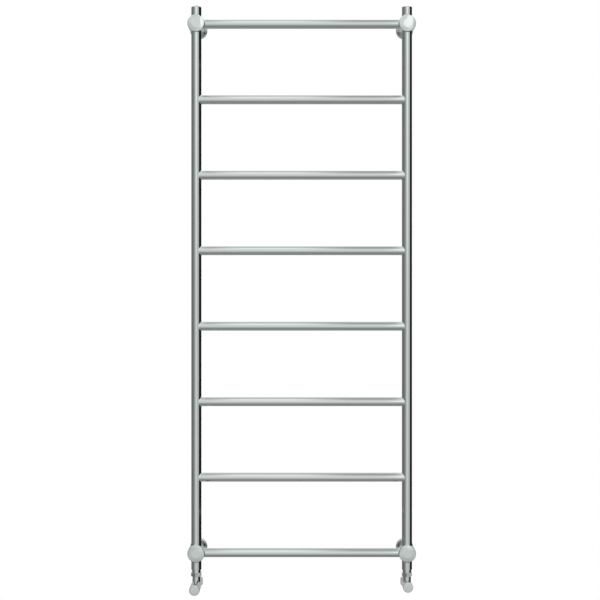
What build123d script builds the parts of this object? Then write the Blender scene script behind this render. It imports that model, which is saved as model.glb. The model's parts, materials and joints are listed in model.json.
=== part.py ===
from build123d import *
import os

os.makedirs("parts", exist_ok=True)

# Ladder towel rail for a hot-water circuit, hung on a wall, with an air vent and two angle valves.
# Millimetres. The origin is the centre of the four wall screws, on the face of the wall.
# X runs to the right as seen from the room, Y into the wall, Z up.
# Screw threads are plain cylinders at their pitch diameter.

# Tubes of the rail
rung_count = 8
rung_pitch = 200.0
upright_spacing = 558.0  # between the axes of the uprights
wall_offset = 75.0  # face of the wall to the axes of the tubes
upright_od = 26.9
upright_wall = 1.5
rung_od = 23.5
rung_wall = 1.5
end_reach = 44.0  # end of an upright beyond the axis of the nearest rung
braze_gap = 0.05  # all round a brazed tube

# Corner joints
joint_od = 45.0
joint_wall = 2.3  # over the front and the back of the upright
joint_flat = 20.5  # flat middle of the front
joint_rise = 1.6  # of the flat over the rim
joint_bulge = 0.17  # of the shoulder between them
joint_edge = 2.8  # rounding of the rim
joint_bore = 16.0  # waterway
stop_land = 1.0  # keeps the tubes that meet in a joint apart

# Wall brackets
post_od = 16.0
post_length = 32.0
stud_od = 8.0  # threaded end of the post, in the joint
stud_length = 4.5
sleeve_wall = 2.9
sleeve_standback = 6.0  # gap left between joint and sleeve
sleeve_floor = 5.0
slide_gap = 0.1  # all round the post in the sleeve
base_thickness = 3.0
wall_screw_hole = 5.5
wall_screw_head = 10.0  # countersink
flange_od = 46.0
flange_depth = 10.0
flange_edge = 2.5  # rounding of its front edge
flange_wall = 1.5
base_clearance = 2.5  # inside the flange, round the base
fit_gap = 0.05  # all round a push fit, a guided slide or a turning stem
grub_od = 5.0
grub_proud = 0.5  # out of the sleeve
grub_key = 2.5  # across the flats of its hexagon socket
grub_key_depth = 2.0
grub_setback = 13.0  # behind the mouth of the sleeve

# Threaded ends of the uprights and their plugs
end_thread = 19.8
thread_gap = 0.05  # all round a screw thread
end_thread_depth = 12.0
plug_reach = 10.0  # threaded length of a plug or a valve tail
vent_rim = 0.3  # straight edge of the vent's head
vent_height = 3.3
vent_top = 18.3  # diameter of the flat top
vent_well = 7.8  # opening round the bleed screw
vent_well_depth = 5.5
bleed_thread = 5.0
bleed_thread_length = 5.8
bleed_key = 5.0  # across the flats of its square head
bleed_sunk = 1.0  # top of the square below the top of the vent
bleed_seat_clearance = 0.2
bleed_port = 2.4
blank_height = 1.0
blank_edge = 0.6
blank_key = 10.0
blank_key_depth = 6.0
seal_section = 1.5  # thickness of a plug's sealing ring
seal_place = 2.0  # middle of the ring below the plug's head

# Valve tails and union nuts
tail_collar_lip = 1.6  # collar beyond the thread
tail_collar_height = 7.1
tail_wall = 2.0
nut_lip = 2.0  # hold of the union nut on the tail
nut_lip_height = 2.5
nut_height = 10.5
nut_wall = 2.75  # thread to flat
tail_flange_height = 2.2
tail_flange_inset = 0.2
union_washer_height = 1.5
nut_turns = {"left": 27.0, "right": 24.0}  # degrees out of square to the room, as tightened

# Valve bodies
valve_drop = 41.0  # end of the upright to the axis of the valve
neck_od = 20.4
neck_bore = 13.0
barrel_od = 26.0
barrel_front = 16.0  # neck axis to the front of the barrel
barrel_rear = 29.0
barrel_edge = 0.8
chamber_bore = 18.0
seat_bore = 11.0
seat_place = 9.0  # neck axis to the seat
seat_length = 7.0
pipe_od = 15.0
pipe_gap = 0.1
inlet_thread = 19.7
inlet_thread_length = 11.0
inlet_nut_length = 15.0
inlet_nut_end = 3.0  # thickness of its end wall
inlet_nut_wall = 3.6
inlet_nut_gap = 1.0  # to the barrel
inlet_nut_turn = 30.0
olive_wall = 1.2
olive_length = 6.0

# Headworks
valve_travel = 4.0
spindle_thread = 8.0
spindle_collar_lip = 1.0
spindle_collar = 2.5
spindle_stem = 6.0
spindle_square = 4.2
spindle_end_play = 0.1
key_length = 4.0  # square of the lockshield spindle
stem_proud = 1.0  # stem in front of the bonnet
bonnet_reach = 11.0  # threaded length in the barrel
bonnet_hex_thickness = 4.0
bonnet_hex_lip = 1.5
bonnet_nose_wall = 2.0
bonnet_shoulder = 1.2  # wall behind the spindle's collar
cavity_setback = 1.0  # guide of the jumper behind the front of the barrel
gland_lip = 0.95
gland_length = 5.0
gland_ring_section = 0.84
gland_groove_width = 1.5
jumper_wall = 0.95  # thread to flat
jumper_round = 1.5  # round of the sleeve beyond its flats
jumper_play = 0.45  # left at the end of its travel
jumper_end = 1.5  # wall that closes its thread
jumper_disc = 15.2
jumper_disc_thickness = 2.5
seat_washer_od = 14.4
seat_washer_thickness = 3.0
seat_gap = 0.05

# Heads
head_gap = 0.4  # to the front of the barrel
head_clearance = 0.43  # round the corners of the bonnet's hexagon
wheel_od = 27.5
wheel_edge = 1.4
wheel_room = 2.0  # in front of the bonnet's nose
wheel_web = 16.0
wheel_hollow = 15.0
wheel_hollow_bore = 10.0
wheel_cap_od = 21.0
wheel_cap_thickness = 3.0
wheel_cap_plug = 3.0
wheel_cap_wall = 1.0
wheel_screw_od = 2.5
wheel_screw_length = 7.5
wheel_screw_head = 7.6
wheel_screw_head_height = 2.0
wheel_screw_slot = 0.8
wheel_screw_slot_depth = 0.9
lock_cap_od = 26.7
lock_cap_edge = 1.4
lock_cap_room = 1.0  # in front of the spindle
lock_cap_front = 1.5
lock_cap_boss_wall = 1.5
lock_cap_boss_gap = 0.4  # to the bonnet's hexagon

# Radii and places that follow from the sizes
half_span = upright_spacing / 2
axis_y = -wall_offset
top_rung = rung_pitch * (rung_count - 1) / 2
rung_heights = [top_rung - rung_pitch * step for step in range(rung_count)]
tube_end = top_rung + end_reach
upright_r = upright_od / 2
upright_bore_r = upright_r - upright_wall
rung_r = rung_od / 2
rung_bore_r = rung_r - rung_wall
upright_stop = rung_r + stop_land  # joint centre to the end of an upright in its socket
rung_stop = upright_r + stop_land
joint_r = joint_od / 2
joint_half = upright_r + braze_gap + joint_wall
post_r = post_od / 2
sleeve_bore_r = post_r + slide_gap
sleeve_r = sleeve_bore_r + sleeve_wall
sleeve_mouth = joint_half + sleeve_standback
flange_r = flange_od / 2
flange_inner_r = flange_r - flange_wall
base_r = flange_inner_r - base_clearance
grub_r = grub_od / 2
end_thread_r = end_thread / 2
neck_r = neck_od / 2
barrel_r = barrel_od / 2
chamber_r = chamber_bore / 2
pipe_bore_r = pipe_od / 2 + pipe_gap

# Left is the control valve with its handwheel, right the lockshield valve
sides = {"left": -1, "right": 1}
levels = {"top": 1, "bottom": -1}
corners = [(f"{level}_{side}", sides[side], levels[level]) for level in levels for side in sides]


def upright_place(side, height):
    """Plane through the axis of an upright: radius along X, distance upwards."""
    return Plane(origin=(side * half_span, axis_y, height), x_dir=(1, 0, 0), z_dir=(0, -1, 0))


def end_place(side, level):
    """Plane through the end of an upright: radius along X, distance outwards from the end."""
    return Plane(origin=(side * half_span, axis_y, level * tube_end), x_dir=(1, 0, 0), z_dir=(0, -level, 0))


def rung_place(height):
    """Plane through the axis of a rung: radius upwards, distance along X."""
    return Plane(origin=(0, axis_y, height), x_dir=(0, 0, 1), z_dir=(0, 1, 0))


def depth_place(side, height):
    """Plane through an axis square to the wall: radius along X, distance towards the wall."""
    return Plane(origin=(side * half_span, axis_y, height), x_dir=(1, 0, 0), z_dir=(0, 0, 1))


def grub_place(side, level):
    """Plane through the axis of a bracket's grub screw: radius along X, distance downwards."""
    across = axis_y + sleeve_mouth + grub_setback
    return Plane(origin=(side * half_span, across, level * top_rung), x_dir=(1, 0, 0), z_dir=(0, 1, 0))


def valve_place(side):
    """Plane through the axis of a valve, with its distance measured from the neck."""
    return depth_place(side, -tube_end - valve_drop)


def square_to(place, distance):
    """Plane square to the axis of a place, at a distance along it."""
    return Plane(origin=place.origin + place.y_dir * distance, x_dir=place.x_dir, z_dir=place.y_dir)


def band(inner, outer, start, end):
    """Corners of a rectangle between two radii and two distances."""
    return (inner, start), (outer, start), (outer, end), (inner, end)


def turn(place, *points, mode=Mode.ADD):
    """Adds or cuts a round form from its half outline of (radius, distance) points."""
    with BuildSketch(place) as outline:
        with BuildLine():
            Polyline(*points, close=True)
        make_face()
    revolve(outline.sketch, axis=Axis(place.origin, place.y_dir), mode=mode)


def ring(place, radius, distance, section):
    """Adds a sealing ring of round section."""
    with BuildSketch(place) as outline:
        with Locations((radius, distance)):
            Circle(section / 2)
    revolve(outline.sketch, axis=Axis(place.origin, place.y_dir))


def prism(place, corner_count, across_flats, start, end, turned=0.0, mode=Mode.ADD):
    """Adds or cuts a bar with a square or hexagonal section, one pair of flats along X unless turned."""
    turned_flat = 180 / corner_count if corner_count == 4 else 0
    with BuildSketch(square_to(place, start)) as outline:
        RegularPolygon(across_flats / 2, corner_count, major_radius=False, rotation=turned_flat + turned)
    extrude(outline.sketch, amount=end - start, mode=mode)


def two_flats(place, radius, half_flat, start, end, mode=Mode.ADD):
    """Adds or cuts a round bar with two flats, above and below its axis."""
    with BuildSketch(square_to(place, start)) as outline:
        Circle(radius)
        Rectangle(2 * radius, 2 * half_flat, mode=Mode.INTERSECT)
    extrude(outline.sketch, amount=end - start, mode=mode)


def corner_radius(across_flats):
    """Radius of a hexagon's corners."""
    return across_flats / 3**0.5


def hexagon_nut(place, across_flats, start, end, turned=0.0):
    """Adds a hexagon whose corners are cut back at both ends."""
    flat_r = across_flats / 2
    corner_r = corner_radius(across_flats)
    slope = (corner_r - flat_r) / 3**0.5
    prism(place, 6, across_flats, start, end, turned)
    barrel = (flat_r, start), (corner_r, start + slope), (corner_r, end - slope), (flat_r, end)
    turn(place, (0, start), *barrel, (0, end), mode=Mode.INTERSECT)


def save(piece, name):
    """Names a finished piece and writes it."""
    piece.part.label = name
    export_step(piece.part, f"parts/{name}.step")


# Uprights, each drilled on its inner side where a rung opens into it
for side_name, side in sides.items():
    place = upright_place(side, 0)
    upright_half = top_rung - upright_stop
    inner_side = sorted((0, side * half_span))
    with BuildPart() as upright:
        turn(place, *band(upright_bore_r, upright_r, -upright_half, upright_half))
        for height in rung_heights[1:-1]:
            turn(rung_place(height), *band(0, rung_bore_r, *inner_side), mode=Mode.SUBTRACT)
    save(upright, f"{side_name}_upright")

# Rungs, the outer two straight into the joints and the others coped to the uprights
for number, height in enumerate(rung_heights, start=1):
    in_joints = height in (rung_heights[0], rung_heights[-1])
    rung_half = half_span - rung_stop if in_joints else half_span
    with BuildPart() as rung:
        turn(rung_place(height), *band(rung_bore_r, rung_r, -rung_half, rung_half))
        if not in_joints:
            for side in sides.values():
                cope = band(0, upright_r + braze_gap, -rung_od, rung_od)
                turn(upright_place(side, height), *cope, mode=Mode.SUBTRACT)
    save(rung, f"rung_{number}")

# Corner joints: round castings that face the room, with sockets for two upright tubes and a rung
for corner, side, level in corners:
    height = level * top_rung
    place = depth_place(side, height)
    rung_start, rung_end = sorted((side * (half_span - rung_stop), side * (half_span - joint_od)))
    way_start, way_end = sorted((side * half_span, side * (half_span - rung_stop)))
    with BuildPart() as joint:
        with BuildSketch(place):
            with BuildLine():
                front = -joint_half - joint_rise
                shoulder = SagittaArc((joint_flat / 2, front), (joint_r, -joint_half), -joint_bulge)
                Polyline(shoulder @ 1, (joint_r, joint_half), (0, joint_half), (0, front), shoulder @ 0)
            make_face()
            fillet(vertices().group_by(Axis.X)[-1], joint_edge)
        revolve(axis=Axis(place.origin, place.y_dir))
        for way in (1, -1):
            socket_start, socket_end = sorted((way * upright_stop, way * joint_od))
            socket = band(0, upright_r + braze_gap, socket_start, socket_end)
            turn(upright_place(side, height), *socket, mode=Mode.SUBTRACT)
        waterway = band(0, joint_bore / 2, -upright_stop, upright_stop)
        turn(upright_place(side, height), *waterway, mode=Mode.SUBTRACT)
        turn(rung_place(height), *band(0, rung_r + braze_gap, rung_start, rung_end), mode=Mode.SUBTRACT)
        turn(rung_place(height), *band(0, joint_bore / 2, way_start, way_end), mode=Mode.SUBTRACT)
        stud_hole = band(0, stud_od / 2 + thread_gap, joint_half - stud_length, joint_half)
        turn(place, *stud_hole, mode=Mode.SUBTRACT)
    save(joint, f"{corner}_joint")

# Short end tubes beyond the joints, thickened and threaded at their outer ends
for corner, side, level in corners:
    place = end_place(side, level)
    root = upright_stop - end_reach
    thread_hole_r = end_thread_r + thread_gap
    with BuildPart() as stub:
        turn(place, *band(upright_bore_r, upright_r, root, -end_thread_depth))
        turn(place, *band(thread_hole_r, upright_r, -end_thread_depth, 0))
    save(stub, f"{corner}_end_tube")

# Bracket posts screwed into the backs of the joints
for corner, side, level in corners:
    place = depth_place(side, level * top_rung)
    with BuildPart() as post:
        turn(place, *band(0, stud_od / 2, joint_half - stud_length, joint_half))
        turn(place, *band(0, post_r, joint_half, joint_half + post_length))
    save(post, f"{corner}_bracket_post")

# Wall bases: a sleeve that takes the post, on a disc with one countersunk hole for a wall screw
for corner, side, level in corners:
    place = depth_place(side, level * top_rung)
    floor = wall_offset - sleeve_floor
    with BuildPart() as base:
        turn(place, *band(sleeve_bore_r, sleeve_r, sleeve_mouth, floor))
        turn(place, *band(0, sleeve_r, floor, wall_offset))
        turn(place, *band(0, base_r, wall_offset - base_thickness, wall_offset))
        with Locations(square_to(place, floor).rotated((180, 0, 0))):
            CounterSinkHole(wall_screw_hole / 2, wall_screw_head / 2, counter_sink_angle=90)
        grub_hole = band(0, grub_r + thread_gap, 0, sleeve_r + grub_proud)
        turn(grub_place(side, level), *grub_hole, mode=Mode.SUBTRACT)
    save(base, f"{corner}_wall_base")

# Wall flanges: hollow covers that slide over the sleeves and hide the bases
for corner, side, level in corners:
    place = depth_place(side, level * top_rung)
    front = wall_offset - flange_depth
    collar_r = sleeve_r + fit_gap
    with BuildPart() as flange:
        with BuildSketch(place):
            with BuildLine():
                Polyline(
                    (flange_r, wall_offset),
                    (flange_r, front),
                    (collar_r, front),
                    (collar_r, front + flange_wall),
                    (flange_inner_r, front + flange_wall),
                    (flange_inner_r, wall_offset),
                    close=True,
                )
            make_face()
            inside, outside = vertices().group_by(Axis.X)[-2:]
            fillet(outside.sort_by(Axis.Y)[0], flange_edge)
            fillet(inside.sort_by(Axis.Y)[0], flange_edge - flange_wall)
        revolve(axis=Axis(place.origin, place.y_dir))
    save(flange, f"{corner}_wall_flange")

# Grub screws that hold the posts in the sleeves, from below
with BuildPart() as grub_screws:
    for corner, side, level in corners:
        place = grub_place(side, level)
        screw_end = sleeve_r + grub_proud
        turn(place, *band(0, grub_r, post_r, screw_end))
        prism(place, 6, grub_key, screw_end - grub_key_depth, screw_end, mode=Mode.SUBTRACT)
save(grub_screws, "grub_screws")

# Air vent in the top of the left upright, with its bleed screw
vent = end_place(sides["left"], levels["top"])
seal_outer_r = end_thread_r
seal_groove_r = seal_outer_r - seal_section
well_floor = vent_height - vent_well_depth
bleed_tip = well_floor - bleed_thread_length
with BuildPart() as air_vent:
    turn(vent, *band(0, end_thread_r, -plug_reach, 0))
    turn(vent, (0, 0), (upright_r, 0), (upright_r, vent_rim), (vent_top / 2, vent_height), (0, vent_height))
    turn(vent, *band(0, vent_well / 2, well_floor, vent_height), mode=Mode.SUBTRACT)
    thread_hole = band(0, bleed_thread / 2 + fit_gap, bleed_tip - bleed_seat_clearance, well_floor)
    turn(vent, *thread_hole, mode=Mode.SUBTRACT)
    turn(vent, *band(0, bleed_port / 2, -plug_reach, bleed_tip), mode=Mode.SUBTRACT)
    groove = band(seal_groove_r, end_thread_r, -seal_place - seal_section / 2, -seal_place + seal_section / 2)
    turn(vent, *groove, mode=Mode.SUBTRACT)
save(air_vent, "air_vent")

with BuildPart() as bleed_screw:
    turn(vent, *band(0, bleed_thread / 2, bleed_tip, well_floor + fit_gap))
    prism(vent, 4, bleed_key, well_floor + fit_gap, vent_height - bleed_sunk)
save(bleed_screw, "bleed_screw")

# Blanking plug in the top of the right upright
blank = end_place(sides["right"], levels["top"])
with BuildPart() as blanking_plug:
    turn(blank, *band(0, end_thread_r, -plug_reach, 0))
    head = band(0, upright_r, 0, blank_height)
    turn(blank, *head)
    fillet(edges().filter_by(GeomType.CIRCLE).group_by(Axis.Z)[-1], blank_edge)
    prism(blank, 6, blank_key, blank_height - blank_key_depth, blank_height, mode=Mode.SUBTRACT)
    turn(blank, *groove, mode=Mode.SUBTRACT)
save(blanking_plug, "blanking_plug")

# Sealing rings of the vent and the plug
with BuildPart() as plug_rings:
    for place in (vent, blank):
        ring(place, end_thread_r - seal_section / 2, -seal_place, seal_section)
save(plug_rings, "plug_rings")

# Distances below the end of an upright, down to the valve's neck
collar_end = tail_collar_height
lip_end = collar_end + nut_lip_height
tail_end = lip_end + tail_flange_height
neck_top = tail_end + union_washer_height
tail_flange_r = neck_r - tail_flange_inset
tail_stem_r = tail_flange_r - nut_lip
tail_bore_r = tail_stem_r - tail_wall

# Valve tails screwed into the bottom ends of the uprights
for side_name, side in sides.items():
    place = end_place(side, levels["bottom"])
    with BuildPart() as tail:
        turn(place, *band(tail_bore_r, end_thread_r, -plug_reach, 0))
        turn(place, *band(tail_bore_r, end_thread_r + tail_collar_lip, 0, collar_end))
        turn(place, *band(tail_bore_r, tail_stem_r, collar_end, lip_end))
        turn(place, *band(tail_bore_r, tail_flange_r, lip_end, tail_end))
    save(tail, f"{side_name}_valve_tail")

# Union nuts that draw the tails down onto the valves
nut_thread_r = neck_r + thread_gap
nut_flats = 2 * (nut_thread_r + nut_wall)
for side_name, side in sides.items():
    place = end_place(side, levels["bottom"])
    nut_end = collar_end + nut_height
    with BuildPart() as union_nut:
        hexagon_nut(place, nut_flats, collar_end, nut_end, -nut_turns[side_name])
        turn(place, *band(0, tail_stem_r + fit_gap, collar_end, lip_end), mode=Mode.SUBTRACT)
        turn(place, *band(0, nut_thread_r, lip_end, nut_end), mode=Mode.SUBTRACT)
    save(union_nut, f"{side_name}_union_nut")

with BuildPart() as union_washers:
    for side in sides.values():
        place = end_place(side, levels["bottom"])
        turn(place, *band(tail_bore_r, tail_flange_r, tail_end, neck_top))
save(union_washers, "union_washers")

# Distances along a valve, from the axis of its neck towards the wall
pipe_stop = seat_place + seat_length
inlet_end = barrel_rear + inlet_thread_length
inlet_nut_start = barrel_rear + inlet_nut_gap
inlet_nut_stop = inlet_nut_start + inlet_nut_length
olive_end = inlet_nut_stop - inlet_nut_end
olive_start = olive_end - olive_length
olive_r = pipe_bore_r + olive_wall
inlet_thread_r = inlet_thread / 2

# Valve bodies: a barrel square to the wall with its seat inside, and a neck that takes the union nut
for side_name, side in sides.items():
    along = valve_place(side)
    down = end_place(side, levels["bottom"])
    with BuildPart() as body:
        turn(
            along,
            (0, -barrel_front),
            (barrel_r - barrel_edge, -barrel_front),
            (barrel_r, -barrel_front + barrel_edge),
            (barrel_r, barrel_rear - barrel_edge),
            (barrel_r - barrel_edge, barrel_rear),
            (0, barrel_rear),
        )
        turn(along, *band(0, inlet_thread_r, barrel_rear, inlet_end))
        turn(down, *band(0, neck_r, neck_top, valve_drop))
        turn(down, *band(0, neck_bore / 2, neck_top, valve_drop), mode=Mode.SUBTRACT)
        turn(along, *band(0, chamber_r, -barrel_front, seat_place), mode=Mode.SUBTRACT)
        turn(along, *band(0, seat_bore / 2, seat_place, pipe_stop), mode=Mode.SUBTRACT)
        turn(along, *band(0, pipe_bore_r, pipe_stop, inlet_end), mode=Mode.SUBTRACT)
        turn(along, *band(0, olive_r + fit_gap, olive_start, inlet_end), mode=Mode.SUBTRACT)
    save(body, f"{side_name}_valve_body")

# Compression nuts and olives that seal the supply pipes
inlet_hole_r = inlet_thread_r + thread_gap
inlet_nut_flats = 2 * (inlet_hole_r + inlet_nut_wall)
for side_name, side in sides.items():
    along = valve_place(side)
    with BuildPart() as inlet_nut:
        hexagon_nut(along, inlet_nut_flats, inlet_nut_start, inlet_nut_stop, inlet_nut_turn)
        turn(along, *band(0, inlet_hole_r, inlet_nut_start, olive_end), mode=Mode.SUBTRACT)
        turn(along, *band(0, pipe_bore_r, olive_end, inlet_nut_stop), mode=Mode.SUBTRACT)
    save(inlet_nut, f"{side_name}_compression_nut")

with BuildPart() as olives:
    for side in sides.values():
        turn(valve_place(side), *band(pipe_bore_r, olive_r, olive_start, olive_end))
save(olives, "olives")

# Distances and radii of the headworks, closed, from the axis of the neck towards the wall
washer_end = seat_place - seat_gap
washer_start = washer_end - seat_washer_thickness
disc_start = washer_start - jumper_disc_thickness
cavity_start = -barrel_front + cavity_setback
bonnet_end = -barrel_front + bonnet_reach
jumper_start = cavity_start + jumper_play + valve_travel
jumper_bore_end = disc_start - jumper_end
spindle_end = jumper_bore_end - valve_travel - jumper_play
shoulder = cavity_start - bonnet_shoulder
collar_back = shoulder - spindle_end_play
collar_front = collar_back - spindle_collar
gland_back = collar_front - 2 * spindle_end_play
nose = gland_back - gland_length
hex_front = -barrel_front - bonnet_hex_thickness
stem_front = nose - stem_proud
screw_r = spindle_thread / 2
stem_r = spindle_stem / 2
collar_r = screw_r + spindle_collar_lip
gland_r = collar_r + gland_lip
nose_r = gland_r + thread_gap + bonnet_nose_wall
bonnet_flats = 2 * (nose_r + bonnet_hex_lip)
jumper_flat = screw_r + thread_gap + jumper_wall
jumper_r = jumper_flat + jumper_round
groove_middle = nose + gland_length / 2
gland_groove_r = stem_r + fit_gap + gland_ring_section

# Bonnets screwed into the fronts of the barrels
for side_name, side in sides.items():
    along = valve_place(side)
    with BuildPart() as bonnet:
        hexagon_nut(along, bonnet_flats, hex_front, -barrel_front)
        turn(along, *band(0, nose_r, nose, hex_front))
        turn(along, *band(0, chamber_r - thread_gap, -barrel_front, bonnet_end))
        turn(along, *band(0, gland_r + thread_gap, nose, gland_back), mode=Mode.SUBTRACT)
        turn(along, *band(0, collar_r + fit_gap, gland_back, shoulder), mode=Mode.SUBTRACT)
        turn(along, *band(0, screw_r + fit_gap, shoulder, cavity_start), mode=Mode.SUBTRACT)
        guide = (jumper_r + fit_gap, jumper_flat + fit_gap, cavity_start, bonnet_end)
        two_flats(along, *guide, mode=Mode.SUBTRACT)
    save(bonnet, f"{side_name}_bonnet")

# Gland nuts that keep the spindles in the bonnets, each with a sealing ring inside
with BuildPart() as gland_nuts:
    for side in sides.values():
        along = valve_place(side)
        groove_start = groove_middle - gland_groove_width / 2
        turn(along, *band(stem_r + fit_gap, gland_r, nose, gland_back))
        ring_groove = band(stem_r, gland_groove_r, groove_start, groove_start + gland_groove_width)
        turn(along, *ring_groove, mode=Mode.SUBTRACT)
save(gland_nuts, "gland_nuts")

with BuildPart() as gland_rings:
    for side in sides.values():
        ring_r = gland_groove_r - gland_ring_section / 2
        ring(valve_place(side), ring_r, groove_middle, gland_ring_section)
save(gland_rings, "gland_rings")

# Distances of the handwheel
web_back = nose - wheel_room
web_front = web_back - wheel_web
hollow_front = web_front - wheel_hollow
wheel_front = hollow_front - wheel_cap_thickness
wheel_r = wheel_od / 2
wheel_cap_r = wheel_cap_od / 2
wheel_screw_r = wheel_screw_od / 2

# Spindles, which turn in place: the left one carries the handwheel, the right one takes a key
square_fronts = {"left": web_front + spindle_end_play, "right": stem_front - key_length}
for side_name, side in sides.items():
    along = valve_place(side)
    square_front = square_fronts[side_name]
    with BuildPart() as spindle:
        turn(along, *band(0, screw_r, collar_back, spindle_end))
        turn(along, *band(0, collar_r, collar_front, collar_back))
        turn(along, *band(0, stem_r, stem_front, collar_front))
        prism(along, 4, spindle_square, stem_front, square_front)
        if side_name == "left":
            tapped_end = square_front + wheel_screw_length
            turn(along, *band(0, wheel_screw_r + thread_gap, square_front, tapped_end), mode=Mode.SUBTRACT)
    save(spindle, f"{side_name}_spindle")

# Jumpers, which the flats keep from turning, so that the spindle's thread moves them off the seat
for side_name, side in sides.items():
    along = valve_place(side)
    with BuildPart() as jumper:
        two_flats(along, jumper_r, jumper_flat, jumper_start, disc_start)
        turn(along, *band(0, jumper_disc / 2, disc_start, washer_start))
        thread_hole = band(0, screw_r + thread_gap, jumper_start, jumper_bore_end)
        turn(along, *thread_hole, mode=Mode.SUBTRACT)
    save(jumper, f"{side_name}_jumper")

for side_name, side in sides.items():
    with BuildPart() as seat_washer:
        turn(valve_place(side), *band(0, seat_washer_od / 2, washer_start, washer_end))
    save(seat_washer, f"{side_name}_seat_washer")

# Handwheel on the left spindle: a hollow drum with a web, a retaining screw and a front cap
head_back = -barrel_front - head_gap
head_bore_r = corner_radius(bonnet_flats) + head_clearance
along = valve_place(sides["left"])
with BuildPart() as handwheel:
    turn(
        along,
        (0, wheel_front),
        (wheel_r - wheel_edge, wheel_front),
        (wheel_r, wheel_front + wheel_edge),
        (wheel_r, head_back),
        (0, head_back),
    )
    turn(along, *band(0, head_bore_r, web_back, head_back), mode=Mode.SUBTRACT)
    turn(along, *band(0, wheel_hollow_bore / 2, hollow_front, web_front), mode=Mode.SUBTRACT)
    turn(along, *band(0, wheel_cap_r + fit_gap, wheel_front, hollow_front), mode=Mode.SUBTRACT)
    prism(along, 4, spindle_square + 2 * fit_gap, web_back, web_front, mode=Mode.SUBTRACT)
save(handwheel, "handwheel")

with BuildPart() as handwheel_screw:
    slot_face = square_to(along, web_front - wheel_screw_head_height)
    turn(along, *band(0, wheel_screw_r, web_front, web_front + wheel_screw_length))
    turn(along, *band(0, wheel_screw_head / 2, web_front - wheel_screw_head_height, web_front))
    with BuildSketch(slot_face):
        Rectangle(wheel_screw_head, wheel_screw_slot)
    extrude(amount=wheel_screw_slot_depth, mode=Mode.SUBTRACT)
save(handwheel_screw, "handwheel_screw")

with BuildPart() as handwheel_cap:
    plug_r = wheel_hollow_bore / 2 - fit_gap
    turn(along, *band(0, wheel_cap_r, wheel_front, hollow_front))
    turn(along, *band(plug_r - wheel_cap_wall, plug_r, hollow_front, hollow_front + wheel_cap_plug))
save(handwheel_cap, "handwheel_cap")

# Lockshield cap pushed onto the nose of the right bonnet, over the spindle's square
along = valve_place(sides["right"])
lock_front_inside = square_fronts["right"] - lock_cap_room
lock_front = lock_front_inside - lock_cap_front
lock_r = lock_cap_od / 2
boss_r = nose_r + fit_gap
with BuildPart() as lockshield_cap:
    turn(
        along,
        (0, lock_front),
        (lock_r - lock_cap_edge, lock_front),
        (lock_r, lock_front + lock_cap_edge),
        (lock_r, head_back),
        (0, head_back),
    )
    turn(along, *band(0, head_bore_r, lock_front_inside, head_back), mode=Mode.SUBTRACT)
    boss_back = hex_front - lock_cap_boss_gap
    turn(along, *band(boss_r, boss_r + lock_cap_boss_wall, lock_front_inside, boss_back))
save(lockshield_cap, "lockshield_cap")
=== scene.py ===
"""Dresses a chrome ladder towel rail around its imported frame: tubes, castings, valves, finishes and stage."""

import json
import math

import bpy
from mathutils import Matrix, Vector


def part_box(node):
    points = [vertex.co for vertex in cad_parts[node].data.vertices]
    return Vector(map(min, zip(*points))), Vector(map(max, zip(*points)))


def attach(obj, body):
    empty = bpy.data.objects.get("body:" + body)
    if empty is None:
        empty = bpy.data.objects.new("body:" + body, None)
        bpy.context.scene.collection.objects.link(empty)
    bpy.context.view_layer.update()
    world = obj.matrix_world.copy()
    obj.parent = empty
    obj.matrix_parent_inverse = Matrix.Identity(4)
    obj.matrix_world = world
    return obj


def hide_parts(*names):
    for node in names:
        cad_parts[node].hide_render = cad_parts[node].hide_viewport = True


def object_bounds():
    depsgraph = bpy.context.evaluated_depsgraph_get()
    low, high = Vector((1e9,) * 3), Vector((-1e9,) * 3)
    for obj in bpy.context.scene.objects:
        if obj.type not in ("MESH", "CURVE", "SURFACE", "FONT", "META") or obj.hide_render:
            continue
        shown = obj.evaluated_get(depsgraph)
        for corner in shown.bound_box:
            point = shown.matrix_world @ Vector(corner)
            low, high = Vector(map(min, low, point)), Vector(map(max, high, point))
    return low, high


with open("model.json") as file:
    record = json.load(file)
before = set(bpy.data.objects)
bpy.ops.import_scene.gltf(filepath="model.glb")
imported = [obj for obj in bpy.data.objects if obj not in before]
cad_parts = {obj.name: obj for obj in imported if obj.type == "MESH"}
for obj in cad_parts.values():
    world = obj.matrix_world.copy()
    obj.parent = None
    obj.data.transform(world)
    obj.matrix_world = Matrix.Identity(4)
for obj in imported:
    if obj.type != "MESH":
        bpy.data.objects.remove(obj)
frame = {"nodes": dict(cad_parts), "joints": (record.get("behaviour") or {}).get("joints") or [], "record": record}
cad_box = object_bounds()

bl_info = {
    "name": "Chrome towel rail",
    "version": (1, 0, 0),
    "blender": (4, 5, 0),
    "location": "3D View > Sidebar > Towel Rail",
    "description": "Models and finishes a ladder towel rail with angle valves around its packed frame",
    "category": "Add Mesh",
}

# From a corner of a hexagon to the middle of a side
HALF_SIDE = math.pi / 6

# Turns that point a form modelled along +Z somewhere else
UPWARDS = (0, 0, 0)
DOWNWARDS = (math.pi, 0, 0)
TO_ROOM = (math.pi / 2, 0, 0)
TO_WALL = (-math.pi / 2, 0, 0)
TO_WALL_ON_CORNER = (-math.pi / 2, HALF_SIDE, 0)
TO_RIGHT = (0, math.pi / 2, 0)

# Modelling values, in metres and radians
SMOOTH_ANGLE = math.radians(32)
SHARP_ANGLE = math.radians(40)
NUT_CHAMFER = math.radians(30)
MERGE_DISTANCE = 1e-6
BITE = 0.0001  # how far the end of a brazed tube goes into what it meets
FIT = 0.00005  # all round a push fit

# Shares of a nut's width across flats
NUT_FACE = 0.48  # radius of its end faces
NUT_BLANK = 0.62  # radius of the bar that it is turned from, beyond its corners

# Steps of a rounded outline, and the two ways across a tube that is modelled along Z
ARC_STEPS = 6
DOME_RINGS = 10
LOCAL_X, LOCAL_Y = 0, 1


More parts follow.
